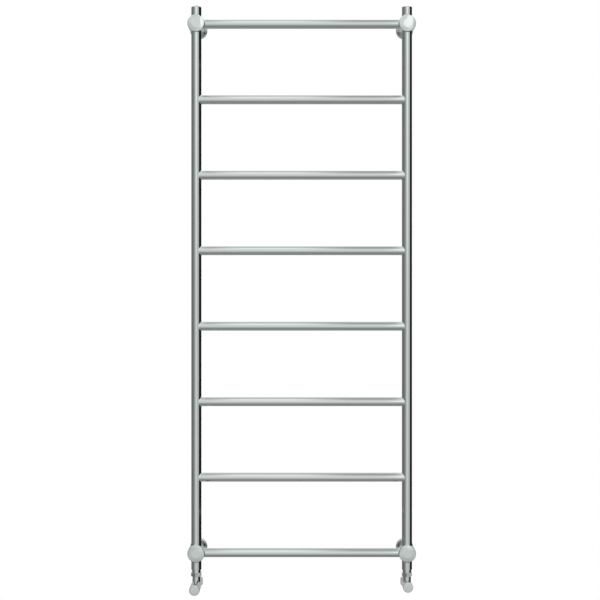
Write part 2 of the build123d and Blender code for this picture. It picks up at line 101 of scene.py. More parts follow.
def middle(node):
    """Centre of a CAD node's box."""
    low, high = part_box(node)
    return (low + high) / 2


def size(node):
    """Width, depth and height of a CAD node's box."""
    low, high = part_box(node)
    return high - low


def corner_centres():
    """Middle of the joint at each corner, on the axes of the tubes."""
    centres = {}
    for level in ("top", "bottom"):
        for side, axis in valve_axes.items():
            corner = f"{level}_{side}"
            centres[corner] = Vector((axis.x, axis.y, middle(f"{corner}_joint").z))
    return centres


# Places that the frame gives
pivots = {joint["name"]: Vector(joint["pos_m"]) for joint in frame["joints"] if "pos_m" in joint}
valve_axes = {"left": pivots["handwheel_turn"], "right": pivots["lockshield_turn"]}
tube_top = pivots["bleed_turn"]
rung_numbers = range(1, 1 + sum(node.startswith("rung_") for node in frame["nodes"]))
corners = corner_centres()


def length(name, description, default):
    """A length in metres that a user may change."""
    return bpy.props.FloatProperty(
        name=name, description=description, default=default, min=0, unit="LENGTH", precision=5
    )


def degrees(name, description, default):
    """An angle that a user may change, given in degrees."""
    return bpy.props.FloatProperty(
        name=name, description=description, default=math.radians(default), unit="ROTATION"
    )


def colour(name, description, default):
    """A colour that a user may change."""
    return bpy.props.FloatVectorProperty(
        name=name, description=description, default=default, min=0, max=1, size=3, subtype="COLOR"
    )


def share(name, description, default):
    """A share or a strength that a user may change."""
    return bpy.props.FloatProperty(
        name=name, description=description, default=default, min=0, max=2, subtype="FACTOR", precision=3
    )


def offset(name, description, default):
    """A distance each way, in metres, that a user may change."""
    return bpy.props.FloatVectorProperty(
        name=name, description=description, default=default, size=len(default), unit="LENGTH"
    )


class RailSizes(bpy.types.PropertyGroup):
    """Sizes of the tubes, the castings and the wall covers."""

    upright_diameter: length("Upright diameter", "Outside of the standing tubes", size("top_left_end_tube").x)
    rung_diameter: length("Rung diameter", "Outside of the cross tubes", 0.0235)
    tube_wall: length("Tube wall", "Thickness of the tubes", 0.0015)
    tube_edge: length("Tube edge", "Rounding of the open end of a tube", 0.0005)
    braze: length("Braze", "Reach of the fillet of braze round the end of a tube", 0.002)
    joint_rim: length("Joint rim", "Rounding of the rim of a corner joint", 0.0028)
    joint_flat: length("Joint flat", "Diameter of the flat in the middle of a corner joint", 0.0205)
    joint_bulge: length("Joint bulge", "Swell of the shoulder round that flat", 0.00017)
    flange_rim: length("Flange rim", "Rounding of the front of a wall flange", 0.0025)
    flange_wall: length("Flange wall", "Thickness of a wall flange", 0.0015)
    sleeve_diameter: length("Sleeve diameter", "Bracket sleeve that passes through a wall flange", 0.022)
    sides: bpy.props.IntProperty(
        name="Sides", description="Facets round a tube or a turned piece", default=96, min=24
    )


class ValveSizes(bpy.types.PropertyGroup):
    """Sizes of the valves, their nuts and heads, and the plugs."""

    neck_diameter: length("Neck diameter", "Neck that takes the union nut", 0.0204)
    neck_bore: length("Neck bore", "Waterway of the neck", 0.013)
    thread_diameter: length("Inlet thread", "Thread of the compression nut", 0.0197)
    thread_length: length("Inlet thread length", "Thread behind the barrel", 0.011)
    pipe_bore: length("Pipe bore", "Opening for the supply pipe", 0.0152)
    pipe_depth: length("Pipe depth", "Depth of the pipe in the barrel", 0.024)
    chamber_bore: length("Chamber bore", "Opening for the bonnet", 0.018)
    chamber_depth: length("Chamber depth", "Front of the barrel to the seat", 0.025)
    seat_bore: length("Seat bore", "Waterway of the seat", 0.011)
    casting_edge: length("Casting edge", "Rounding of the edges of a barrel", 0.0008)
    casting_fillet: length("Casting fillet", "Fillet between neck and barrel", 0.0025)
    union_flats: length("Union nut", "Across the flats of a union nut", 0.026)
    left_union_turn: degrees("Left union nut turn", "Turn of the left nut off square to the room", 27)
    right_union_turn: degrees("Right union nut turn", "Turn of the right nut off square to the room", 24)
    inlet_flats: length("Compression nut", "Across the flats of a compression nut", 0.027)
    nut_corner: length("Nut corner", "Rounding of the corners of a nut", 0.0008)
    nut_lip: length("Nut lip", "End wall of a compression nut", 0.003)
    wheel_edge: length("Wheel edge", "Rounding of the front of the handwheel", 0.0014)
    lock_edge: length("Lockshield edge", "Rounding of the front of the lockshield cap", 0.0014)
    head_room: length("Head room", "Space round the bonnet inside a head", 0.0004)
    cap_thickness: length("Cap thickness", "Front cap of the handwheel", 0.003)
    cap_crown: length("Cap crown", "Rise of the front caps", 0.0002)
    cap_edge: length("Cap edge", "Rounding of the edges of the handwheel's cap", 0.00025)
    wheel_hollow: length("Wheel hollow", "Depth of the hollow behind the front cap", 0.015)
    wheel_hollow_bore: length("Wheel hollow bore", "Opening for the retaining screw", 0.010)
    wheel_web: length("Wheel web", "Web that takes the spindle", 0.016)
    spindle_hole: length("Spindle hole", "Across the corners of the spindle's square", 0.0061)
    lock_front: length("Lockshield front", "Front wall of the lockshield cap", 0.0015)
    lock_boss: length("Lockshield boss", "Boss that grips the nose of the bonnet", 0.0161)
    lock_boss_wall: length("Lockshield boss wall", "Thickness of that boss", 0.0015)
    lock_boss_recess: length("Lockshield boss recess", "Back of the cap to the boss", 0.004)
    plug_thread: length("Plug thread", "Thread of the vent and of the plug", 0.0198)
    vent_rim: length("Vent rim", "Straight edge below the vent's cone", 0.0003)
    vent_top: length("Vent top", "Flat on top of the vent", 0.0183)
    vent_well: length("Vent well", "Opening round the bleed screw", 0.0078)
    vent_well_depth: length("Vent well depth", "Depth of that opening", 0.0055)
    vent_edge: length("Vent edge", "Rounding of the vent's edges", 0.00012)
    plug_edge: length("Plug edge", "Rounding of the plug's head", 0.0006)
    plug_key: length("Plug key", "Across the flats of the plug's socket", 0.010)
    plug_key_depth: length("Plug key depth", "Depth of the plug's socket", 0.006)
    plug_key_edge: length("Plug key edge", "Rounding of the corners of that socket", 0.00012)


class RailFinishes(bpy.types.PropertyGroup):
    """Colours and polish of the finishes."""

    chrome: colour("Chrome", "Chrome plate", (0.685, 0.737, 0.722))
    chrome_shade: colour("Chrome shade", "Chrome plate where it is a little duller", (0.665, 0.717, 0.702))
    brass: colour("Brass", "Turned brass", (0.73, 0.58, 0.30))
    brass_shade: colour("Brass shade", "Tarnish on the brass", (0.52, 0.38, 0.18))
    steel: colour("Steel", "Machined steel", (0.56, 0.57, 0.58))
    steel_shade: colour("Steel shade", "Dull patches on the steel", (0.42, 0.43, 0.45))
    rubber: colour("Rubber", "Moulded rubber", (0.030, 0.030, 0.031))
    rubber_shade: colour("Rubber shade", "Bloom on the rubber", (0.055, 0.055, 0.054))
    tube_polish: share("Tube roughness", "Roughness of the chrome on the tubes", 0.045)
    casting_polish: share("Casting roughness", "Roughness of the chrome on the fittings", 0.06)
    brass_polish: share("Brass roughness", "Roughness of clean brass", 0.22)
    steel_polish: share("Steel roughness", "Roughness of bright steel", 0.25)
    rubber_polish: share("Rubber roughness", "Roughness of clean rubber", 0.55)
    dulling: share("Dulling", "Roughness that tarnish, tool marks or bloom adds", 0.2)
    tube_ripple: length("Tube ripple", "Slow waves in the plate of a tube", 0.05)
    tube_ripple_depth: length("Tube ripple depth", "Depth of those waves", 0.000002)
    casting_ripple: length("Casting ripple", "Slow waves in the plate of a fitting", 0.02)
    casting_ripple_depth: length("Casting ripple depth", "Depth of those waves", 0.000008)
    tool_marks: length("Tool marks", "Depth of the tool marks on brass and steel", 0.00001)
    rubber_skin: length("Rubber skin", "Depth of the grain of the rubber", 0.00002)


class StudioSetup(bpy.types.PropertyGroup):
    """Camera, floor and light."""

    camera_distance: length("Camera distance", "Camera to the axes of the tubes", 2.93)
    picture_width: length("Picture width", "Width of the picture at the tubes", 1.59)
    camera_offset: offset(
        "Camera offset", "Camera to the right of and above the middle of the rail", (-0.0044, -0.0305)
    )
    floor_gap: length("Floor gap", "Floor below the valves", 0.45)
    floor_size: length("Floor size", "Width and depth of the floor", 3.0)
    floor_clear: length("Floor clear", "From below the rail to where the floor starts to fade", 0.4)
    floor_fade: length("Floor fade", "From below the rail to where the floor is white", 1.45)
    floor_colour: colour("Floor colour", "Pale floor", (0.84, 0.84, 0.83))
    floor_mottle: share("Floor mottle", "Darker patches of the floor, as a share of its colour", 0.97)
    floor_roughness: share("Floor roughness", "Roughness of the matt floor", 0.85)
    lamp_place: offset("Lamp place", "Where the overhead lamp hangs", (-0.9, -1.6, 1.9))
    lamp_aim: offset("Lamp aim", "The way that the overhead lamp faces", (0.9, 1.5, -1.9))
    lamp_size: length("Lamp size", "Width of the overhead lamp", 1.6)
    lamp_power: bpy.props.FloatProperty(
        name="Lamp power", description="Power of the overhead lamp", default=14, min=0, unit="POWER"
    )
    room_light: share("Room light", "Even light of the room", 0.75)
    wall_tone: share("Wall tone", "Wall straight behind the rail, as polished metal shows it", 0.50)
    height_fall: share("Height fall", "How much the room's tone falls from high to low", 0.25)
    strip_light: share("Strip light", "Overhead strip, over the room", 0.50)
    side_light: share("Side light", "Overhead light beside the strip, over the room", 0.50)
    window_light: share("Window light", "Soft box right of the camera, over the room", 0.41)


def make_active(piece):
    """Selects one object alone."""
    bpy.ops.object.select_all(action="DESELECT")
    piece.select_set(True)
    bpy.context.view_layer.objects.active = piece


def arc(centre, radius, start, end):
    """Points of a round stretch of an outline, between two angles in degrees."""
    across, along = centre
    angles = [math.radians(start + (end - start) * step / ARC_STEPS) for step in range(ARC_STEPS + 1)]
    return [(across + radius * math.cos(angle), along + radius * math.sin(angle)) for angle in angles]


def dome(radius, height, rise):
    """Rings of a shallow crown, from its rim inwards."""
    shares = [1 - step / DOME_RINGS for step in range(DOME_RINGS)]
    return [(radius * part, height + rise * (1 - part**2)) for part in shares]


def shoulder(radius, flat, height, rise, bulge):
    """Rings of a swelling shoulder from a rim inwards to the flat that it carries."""
    shares = [1 - step / DOME_RINGS for step in range(DOME_RINGS + 1)]
    rings = []
    for part in shares:
        swell = 4 * bulge * part * (1 - part)  # reaches the bulge half way
        rings.append((flat + (radius - flat) * part, height + rise * (1 - part) + swell))
    return rings


def turned(name, outline, hollow=False):
    """A form along Z: a circle that is drawn out and resized from point to point of a half outline."""
    radius, height = outline[0]
    bpy.ops.object.select_all(action="DESELECT")
    bpy.ops.mesh.primitive_circle_add(
        vertices=bpy.context.scene.rail_sizes.sides,
        radius=radius,
        fill_type="NOTHING" if hollow else "NGON",
    )
    piece = bpy.context.object
    piece.name = name
    piece.data.name = name
    bpy.ops.object.mode_set(mode="EDIT")
    bpy.ops.mesh.select_all(action="SELECT")
    bpy.ops.transform.translate(value=(0, 0, height))
    stops = outline[1:] + outline[:1] if hollow else outline[1:]
    for next_radius, next_height in stops:
        bpy.ops.mesh.extrude_region_move(TRANSFORM_OT_translate={"value": (0, 0, next_height - height)})
        scale = next_radius / radius
        bpy.ops.transform.resize(value=(scale, scale, 1), center_override=(0, 0, next_height))
        radius, height = next_radius, next_height
    bpy.ops.mesh.select_all(action="SELECT")
    bpy.ops.mesh.remove_doubles(threshold=MERGE_DISTANCE)
    bpy.ops.mesh.normals_make_consistent(inside=False)
    bpy.ops.object.mode_set(mode="OBJECT")
    return piece


def soften(piece, width, segments=3):
    """Rounds the sharp edges of a piece."""
    make_active(piece)
    bpy.ops.object.modifier_add(type="BEVEL")
    bevel = piece.modifiers[-1]
    bevel.width = width
    bevel.segments = segments
    bevel.limit_method = "ANGLE"
    bevel.angle_limit = SHARP_ANGLE
    bpy.ops.object.modifier_apply(modifier=bevel.name)


def combine(piece, tool, operation):
    """Cuts a piece with a tool, or keeps what the two share, and removes the tool."""
    make_active(piece)
    bpy.ops.object.modifier_add(type="BOOLEAN")
    boolean = piece.modifiers[-1]
    boolean.operation = operation
    boolean.object = tool
    bpy.ops.object.modifier_apply(modifier=boolean.name)
    bpy.data.objects.remove(tool)


def hexagonal_bar(flats, start, end, corner_rounding):
    """A bar along Z with two of its corners on X."""
    bpy.ops.object.select_all(action="DESELECT")
    bpy.ops.mesh.primitive_cylinder_add(
        vertices=6,
        radius=flats / math.sqrt(3),
        depth=end - start,
        location=(0, 0, (start + end) / 2),
        rotation=(0, 0, HALF_SIDE),
    )
    bar = bpy.context.object
    bpy.ops.object.transform_apply(location=True, rotation=True, scale=True)
    soften(bar, corner_rounding)
    return bar


def hexagonal_nut(name, flats, depth, bore):
    """A nut along Z, turned down at both ends. The bore is a list of points from start to end."""
    rounding = bpy.context.scene.valve_sizes.nut_corner
    face = NUT_FACE * flats
    outside = NUT_BLANK * flats
    slope = (outside - face) * math.tan(NUT_CHAMFER)
    rim = [(face, 0), (outside, slope), (outside, depth - slope), (face, depth)]
    nut = turned(name, rim + bore[::-1], hollow=True)
    combine(nut, hexagonal_bar(flats, -depth, 2 * depth, rounding), "INTERSECT")
    return nut


def cope(tube, radius, half, fillet, mate, across, ends):
    """Fits a tube's ends to a round mate. The fillet narrows where the two surfaces run together."""
    for vertex in tube.data.vertices:
        point = vertex.co
        end = math.copysign(1, point.z)
        if end not in ends or abs(point.z) < half - fillet - MERGE_DISTANCE:
            continue
        ring = math.hypot(point.x, point.y)
        if ring > radius:
            narrowing = 1 - (point[across] / ring * radius / mate) ** 2
            scale = (radius + (ring - radius) * narrowing) / ring
            point.x *= scale
            point.y *= scale
        point.z += end * (mate - math.sqrt(mate**2 - point[across] ** 2) + BITE)


def brazed_tube(name, radius, wall, span, fillet, mate, across, open_top=False):
    """A tube along Z whose ends flare in a fillet and follow the round of the tube or casting they meet."""
    edge = bpy.context.scene.rail_sizes.tube_edge
    half = span / 2
    outline = arc((radius + fillet, fillet - half), fillet, 270, 180)
    if open_top:
        outline += arc((radius - edge, half - edge), edge, 0, 90)
    else:
        outline += arc((radius + fillet, half - fillet), fillet, 180, 90)
    outline += [(radius - wall, half), (radius - wall, -half)]
    tube = turned(name, outline, hollow=True)
    cope(tube, radius, half, fillet, mate, across, (-1,) if open_top else (-1, 1))
    return tube


def set_in_place(piece, origin, turn=UPWARDS):
    """Turns and moves a piece, and keeps its place in its mesh."""
    make_active(piece)
    piece.location = origin
    piece.rotation_euler = turn
    bpy.ops.object.transform_apply(location=True, rotation=True, scale=True)


def dress(piece, finish, body, *nodes):
    """Shades a finished piece, gives it its finish and lets it stand for its CAD nodes on their body."""
    make_active(piece)
    bpy.ops.object.shade_smooth_by_angle(angle=SMOOTH_ANGLE)
    bpy.ops.object.modifier_add(type="WEIGHTED_NORMAL")
    shading = piece.modifiers[-1]
    shading.keep_sharp = True
    bpy.ops.object.modifier_apply(modifier=shading.name)
    piece.data.materials.clear()
    piece.data.materials.append(finishes[finish])
    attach(piece, body)
    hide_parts(*nodes)


def set_copies(model, finish, places):
    """Sets a copy of a model with its own mesh for each CAD node, given its origin and turn, on the rail."""
    for node, (origin, turn) in places.items():
        make_active(model)
        bpy.ops.object.duplicate()
        copy = bpy.context.object
        copy.name = f"{node}_{model.name}"
        copy.data.name = copy.name
        set_in_place(copy, origin, turn)
        dress(copy, finish, "rail", node)
    bpy.data.objects.remove(model)


class Value:
    """A shader socket that Python's arithmetic acts on."""

    def __init__(self, graph, socket):
        self.graph = graph
        self.socket = socket

    def beside(self, output):
        """Another output of the same node."""
        return Value(self.graph, self.socket.node.outputs[output])

    def maths(self, operation, first, second):
        """A Math node on two values."""
        return self.graph.node("ShaderNodeMath", {"operation": operation}, {0: first, 1: second})

    def __add__(self, other):
        return self.maths("ADD", self, other)

    def __radd__(self, other):
        return self.maths("ADD", other, self)

    def __sub__(self, other):
        return self.maths("SUBTRACT", self, other)

    def __rsub__(self, other):
        return self.maths("SUBTRACT", other, self)

    def __mul__(self, other):
        return self.maths("MULTIPLY", self, other)

    def __rmul__(self, other):
        return self.maths("MULTIPLY", other, self)

    def __truediv__(self, other):
        return self.maths("DIVIDE", self, other)

    def __rtruediv__(self, other):
        return self.maths("DIVIDE", other, self)


class Graph:
    """A node tree that is built up from nothing."""

    def __init__(self, owner):
        owner.use_nodes = True
        self.tree = owner.node_tree
        self.tree.nodes.clear()

    def node(self, kind, settings, inputs, output=0):
        """Adds a node, sets it, feeds its sockets with values or links, and gives one of its outputs."""
        made = self.tree.nodes.new(kind)
        for name, setting in settings.items():
            if name == "stops":
                self.set_stops(made.color_ramp, setting)
            else:
                setattr(made, name, setting)
        for name, value in inputs.items():
            if isinstance(value, Value):
                self.tree.links.new(value.socket, made.inputs[name])
            else:
                made.inputs[name].default_value = value
        return Value(self, made.outputs[output]) if len(made.outputs) else None

    def set_stops(self, ramp, stops):
        """Gives a ramp its stops of (position, tone)."""
        ramp.elements[0].position = stops[0][0]
        ramp.elements[1].position = stops[-1][0]
        for position, tone in stops[1:-1]:
            ramp.elements.new(position)
        for element, (position, tone) in zip(ramp.elements, stops):
            element.color = (tone, tone, tone, 1)

    def noise(self, place, scale, detail):
        """Soft cloudy noise, from 0 to 1."""
        inputs = {"Vector": place, "Scale": scale, "Detail": detail}
        return self.node("ShaderNodeTexNoise", {}, inputs, "Fac")

    def step(self, value, low, high):
        """Rises smoothly from 0 to 1 between two limits."""
        settings = {"interpolation_type": "SMOOTHSTEP"}
        inputs = {"Value": value, "From Min": low, "From Max": high}
        return self.node("ShaderNodeMapRange", settings, inputs)

    def blend(self, amount, first, second):
        """Mixes two colours."""
        return self.node("ShaderNodeMix", {"data_type": "RGBA"}, {0: amount, 6: first, 7: second}, 2)

    def bump(self, height, depth):
        """Normal of a surface that rises by a depth where a height is 1."""
        return self.node("ShaderNodeBump", {}, {"Height": height, "Distance": depth}, "Normal")

    def surface(self, inputs):
        """The material's shader and output."""
        shader = self.node("ShaderNodeBsdfPrincipled", {}, inputs, "BSDF")
        self.node("ShaderNodeOutputMaterial", {}, {"Surface": shader})


def solid_colour(value):
    """A colour property with full opacity."""
    return (*value, 1)


def object_place(graph, stretch=(1, 1, 1)):
    """Object coordinates, stretched where a pattern runs along one way."""
    place = graph.node("ShaderNodeTexCoord", {}, {}, "Object")
    if stretch == (1, 1, 1):
        return place
    return graph.node("ShaderNodeMapping", {}, {"Vector": place, "Scale": stretch})


def chrome_finish(name, polish, ripple_length, ripple_depth):
    """Polished chrome plate: a faint haze, fine buffing grain and the slow ripple of the metal below."""
    palette = bpy.context.scene.rail_finishes
    material = bpy.data.materials.new(name)
    graph = Graph(material)
    place = object_place(graph)
    haze = graph.noise(place, scale=28, detail=3)
    grain = graph.noise(place, scale=1400, detail=2)
    ripple = graph.noise(place, scale=1 / ripple_length, detail=1)
    chrome = graph.blend(haze, solid_colour(palette.chrome_shade), solid_colour(palette.chrome))
    least, from_haze, from_grain = 0.7, 0.4, 0.2
    roughness = polish * (least + from_haze * haze + from_grain * grain)
    normal = graph.bump(ripple, ripple_depth)
    graph.surface({"Base Color": chrome, "Metallic": 1.0, "Roughness": roughness, "Normal": normal})
    return material


def brass_finish():
    """Turned brass with fine tool marks and a little tarnish."""
    palette = bpy.context.scene.rail_finishes
    material = bpy.data.materials.new("turned brass")
    graph = Graph(material)
    patches = graph.noise(object_place(graph), scale=160, detail=4)
    tarnish = graph.step(patches, low=0.35, high=0.75)
    marks = graph.noise(object_place(graph, stretch=(60, 4000, 60)), scale=1, detail=2)
    brass = graph.blend(tarnish, solid_colour(palette.brass), solid_colour(palette.brass_shade))
    roughness = palette.brass_polish + palette.dulling * tarnish
    normal = graph.bump(marks, palette.tool_marks)
    graph.surface({"Base Color": brass, "Metallic": 1.0, "Roughness": roughness, "Normal": normal})
    return material


def steel_finish():
    """Machined steel with drawn-out tool marks."""
    palette = bpy.context.scene.rail_finishes
    material = bpy.data.materials.new("machined steel")
    graph = Graph(material)
    dull = graph.noise(object_place(graph), scale=220, detail=3)
    marks = graph.noise(object_place(graph, stretch=(300, 300, 5000)), scale=1, detail=2)
    steel = graph.blend(dull, solid_colour(palette.steel), solid_colour(palette.steel_shade))
    roughness = palette.steel_polish + palette.dulling * marks
    normal = graph.bump(marks, palette.tool_marks)
    graph.surface({"Base Color": steel, "Metallic": 1.0, "Roughness": roughness, "Normal": normal})
    return material


def rubber_finish():
    """Moulded rubber with a pale bloom."""
    palette = bpy.context.scene.rail_finishes
    material = bpy.data.materials.new("moulded rubber")
    graph = Graph(material)
    place = object_place(graph)
    bloom = graph.step(graph.noise(place, scale=400, detail=3), low=0.4, high=0.8)
    skin = graph.noise(place, scale=3000, detail=2)
    rubber = graph.blend(bloom, solid_colour(palette.rubber), solid_colour(palette.rubber_shade))
    roughness = palette.rubber_polish + palette.dulling * bloom
    normal = graph.bump(skin, palette.rubber_skin)
    graph.surface({"Base Color": rubber, "Roughness": roughness, "Normal": normal})
    return material


finishes = {}


class TOWEL_RAIL_OT_finishes(bpy.types.Operator):
    """Make the finishes, one for each material slot, and put them on the CAD nodes"""

    bl_idname = "towel_rail.finishes"
    bl_label = "Finishes"

    def execute(self, context):
        palette = context.scene.rail_finishes
        finishes["chrome_tube"] = chrome_finish(
            "tube chrome", palette.tube_polish, palette.tube_ripple, palette.tube_ripple_depth
        )
        finishes["chrome_fitting"] = chrome_finish(
            "fitting chrome", palette.casting_polish, palette.casting_ripple, palette.casting_ripple_depth
        )
        finishes["brass"] = brass_finish()
        finishes["screw_steel"] = steel_finish()
        finishes["rubber"] = rubber_finish()
        for part in frame["record"]["subparts"]:
            mesh = frame["nodes"][part["node"]].data
            mesh.materials.clear()
            mesh.materials.append(finishes[part["material_slot"]])
        return {"FINISHED"}


class TOWEL_RAIL_OT_uprights(bpy.types.Operator):
    """Model the standing tubes: the two uprights and their four short ends beyond the joints"""

    bl_idname = "towel_rail.uprights"
    bl_label = "Uprights"

    def execute(self, context):
        sizes = context.scene.rail_sizes
        radius = sizes.upright_diameter / 2
        mate = size("top_left_joint").x / 2
        form = (radius, sizes.tube_wall)
        meeting = (sizes.braze, mate, LOCAL_X)
        span = corners["top_left"].z - corners["bottom_left"].z - 2 * mate
        tube = brazed_tube("tube", *form, span, *meeting)
        places = {f"{side}_upright": ((axis.x, axis.y, 0), UPWARDS) for side, axis in valve_axes.items()}
        set_copies(tube, "chrome_tube", places)
        reach = tube_top.z - corners["top_left"].z
        stub = brazed_tube("tube", *form, reach - mate, *meeting, open_top=True)
        places = {}
        for corner, centre in corners.items():
            outwards = math.copysign((reach + mate) / 2, centre.z)
            turn = UPWARDS if centre.z > 0 else DOWNWARDS
            places[f"{corner}_end_tube"] = (centre + Vector((0, 0, outwards)), turn)
        set_copies(stub, "chrome_tube", places)
        return {"FINISHED"}


class TOWEL_RAIL_OT_rungs(bpy.types.Operator):
    """Model the cross tubes: the outer two meet the joints, the others the uprights"""

    bl_idname = "towel_rail.rungs"
    bl_label = "Rungs"

    def execute(self, context):
        sizes = context.scene.rail_sizes
        form = (sizes.rung_diameter / 2, sizes.tube_wall)
        outer = (rung_numbers[0], rung_numbers[-1])
        inner = rung_numbers[1:-1]
        width = corners["top_right"].x - corners["top_left"].x
        joint_radius = size("top_left_joint").x / 2
        upright_radius = sizes.upright_diameter / 2
        for numbers, mate, across in ((outer, joint_radius, LOCAL_X), (inner, upright_radius, LOCAL_Y)):
            tube = brazed_tube("tube", *form, width - 2 * mate, sizes.braze, mate, across)
            places = {}
            for number in numbers:
                node = f"rung_{number}"
                places[node] = ((0, valve_axes["left"].y, middle(node).z), TO_RIGHT)
            set_copies(tube, "chrome_tube", places)
        return {"FINISHED"}


class TOWEL_RAIL_OT_corner_joints(bpy.types.Operator):
    """Model the round castings at the corners, with a flat on a swelling shoulder towards the room"""

    bl_idname = "towel_rail.corner_joints"
    bl_label = "Corner joints"

    def execute(self, context):
        sizes = context.scene.rail_sizes
        radius = size("top_left_joint").x / 2
        low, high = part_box("top_left_joint")
        half = high.y - corners["top_left"].y
        rise = high.y - low.y - 2 * half
        face = shoulder(radius, sizes.joint_flat / 2, half, rise, sizes.joint_bulge)
        casting = turned("casting", [(radius, -half)] + face)
        soften(casting, sizes.joint_rim, segments=5)
        places = {f"{corner}_joint": (centre, TO_ROOM) for corner, centre in corners.items()}
        set_copies(casting, "chrome_fitting", places)
        return {"FINISHED"}


class TOWEL_RAIL_OT_wall_flanges(bpy.types.Operator):
    """Model the round covers against the wall, hollow at the back"""

    bl_idname = "towel_rail.wall_flanges"
    bl_label = "Wall flanges"

    def execute(self, context):
        sizes = context.scene.rail_sizes
        rim, wall = sizes.flange_rim, sizes.flange_wall
        depth = size("top_left_wall_flange").y
        radius = size("top_left_wall_flange").x / 2
        collar = sizes.sleeve_diameter / 2 + FIT
        bend = (radius - rim, depth - rim)
        outline = [(radius, 0)] + arc(bend, rim, 0, 90)
        outline += [(collar, depth), (collar, depth - wall)]
        outline += arc(bend, rim - wall, 90, 0) + [(radius - wall, 0)]
        cover = turned("cover", outline, hollow=True)
        places = {}
        for corner, centre in corners.items():
            places[f"{corner}_wall_flange"] = ((centre.x, 0, centre.z), TO_ROOM)
        set_copies(cover, "chrome_fitting", places)
        return {"FINISHED"}


def vent_head(sizes, radius, thread):
    """The air vent along Z from the end of its tube: a chamfered head with a bleed well, on its thread."""
    well = sizes.vent_well / 2
    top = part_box("air_vent")[1].z - tube_top.z
    outline = [(well, top - sizes.vent_well_depth), (well, top), (sizes.vent_top / 2, top)]
    outline += [(radius, sizes.vent_rim), (radius, 0)] + thread[::-1]
    head = turned("head", outline)
    soften(head, sizes.vent_edge)
    return head


def plug_head(sizes, radius, thread):
    """The blanking plug along Z from the end of its tube: a flat head with a key socket, on its thread."""
    edge = sizes.plug_edge
    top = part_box("blanking_plug")[1].z - tube_top.z
    outline = thread + [(radius, 0)] + arc((radius - edge, top - edge), edge, 0, 90)
    head = turned("head", outline)
    key = hexagonal_bar(sizes.plug_key, top - sizes.plug_key_depth, 2 * top, sizes.plug_key_edge)
    combine(head, key, "DIFFERENCE")
    return head


class TOWEL_RAIL_OT_end_plugs(bpy.types.Operator):
    """Model the air vent with its bleed well and the blanking plug with its key socket"""

    bl_idname = "towel_rail.end_plugs"
    bl_label = "Air vent and plug"

    def execute(self, context):
        sizes = context.scene.valve_sizes
        radius = context.scene.rail_sizes.upright_diameter / 2
        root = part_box("air_vent")[0].z - tube_top.z
        thread = [(sizes.plug_thread / 2, root), (sizes.plug_thread / 2, 0)]
        vent = vent_head(sizes, radius, thread)
        set_copies(vent, "chrome_fitting", {"air_vent": (tube_top, UPWARDS)})
        plug = plug_head(sizes, radius, thread)
        right_top = (valve_axes["right"].x, tube_top.y, tube_top.z)
        set_copies(plug, "chrome_fitting", {"blanking_plug": (right_top, UPWARDS)})
        return {"FINISHED"}


def union_nut(sizes):
    """A union nut along Z, with a plain bore."""
    depth = size("left_union_nut").z
    bore = sizes.neck_diameter / 2 + FIT
    return hexagonal_nut("hexagon", sizes.union_flats, depth, [(bore, 0), (bore, depth)])


def compression_nut(sizes):
    """A compression nut along Z, whose end wall closes in round the pipe."""
    depth = size("left_compression_nut").y
    thread = sizes.thread_diameter / 2 + FIT
    hole = sizes.pipe_bore / 2
    lip = depth - sizes.nut_lip
    bore = [(thread, 0), (thread, lip), (hole, lip), (hole, depth)]
    return hexagonal_nut("hexagon", sizes.inlet_flats, depth, bore)


class TOWEL_RAIL_OT_nuts(bpy.types.Operator):
    """Model the hexagonal nuts: union nuts above the valves and compression nuts behind them"""

    bl_idname = "towel_rail.nuts"
    bl_label = "Nuts"

    def execute(self, context):
        sizes = context.scene.valve_sizes
        turns = {"left": sizes.left_union_turn, "right": sizes.right_union_turn}
        above, behind = {}, {}
        for side, axis in valve_axes.items():
            node = f"{side}_union_nut"
            above[node] = ((axis.x, axis.y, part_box(node)[0].z), (0, 0, turns[side]))
            node = f"{side}_compression_nut"
            behind[node] = ((axis.x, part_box(node)[0].y, axis.z), TO_WALL_ON_CORNER)
        set_copies(union_nut(sizes), "chrome_fitting", above)
        set_copies(compression_nut(sizes), "chrome_fitting", behind)
        return {"FINISHED"}


def valve_barrel(sizes, radius, front, end):
    """The barrel along Z: a chamber for the bonnet, the seat, and the inlet inside its thread."""
    rear = end - sizes.thread_length
    seat = front + sizes.chamber_depth
    pipe_stop = end - sizes.pipe_depth
    chamber, pipe, waterway = sizes.chamber_bore / 2, sizes.pipe_bore / 2, sizes.seat_bore / 2
    thread = sizes.thread_diameter / 2
    outline = [(chamber, front), (radius, front), (radius, rear), (thread, rear), (thread, end)]
    outline += [(pipe, end), (pipe, pipe_stop), (waterway, pipe_stop), (waterway, seat), (chamber, seat)]
    barrel = turned("casting", outline, hollow=True)
    soften(barrel, sizes.casting_edge)
    return barrel


def valve_neck(sizes, barrel_radius, top):
    """The neck along Z, with a fillet where it grows out of the barrel."""
    radius = sizes.neck_diameter / 2
    form = (radius, radius - sizes.neck_bore / 2, top - barrel_radius)
    meeting = (sizes.casting_fillet, barrel_radius, LOCAL_X)
    return brazed_tube("neck", *form, *meeting, open_top=True)


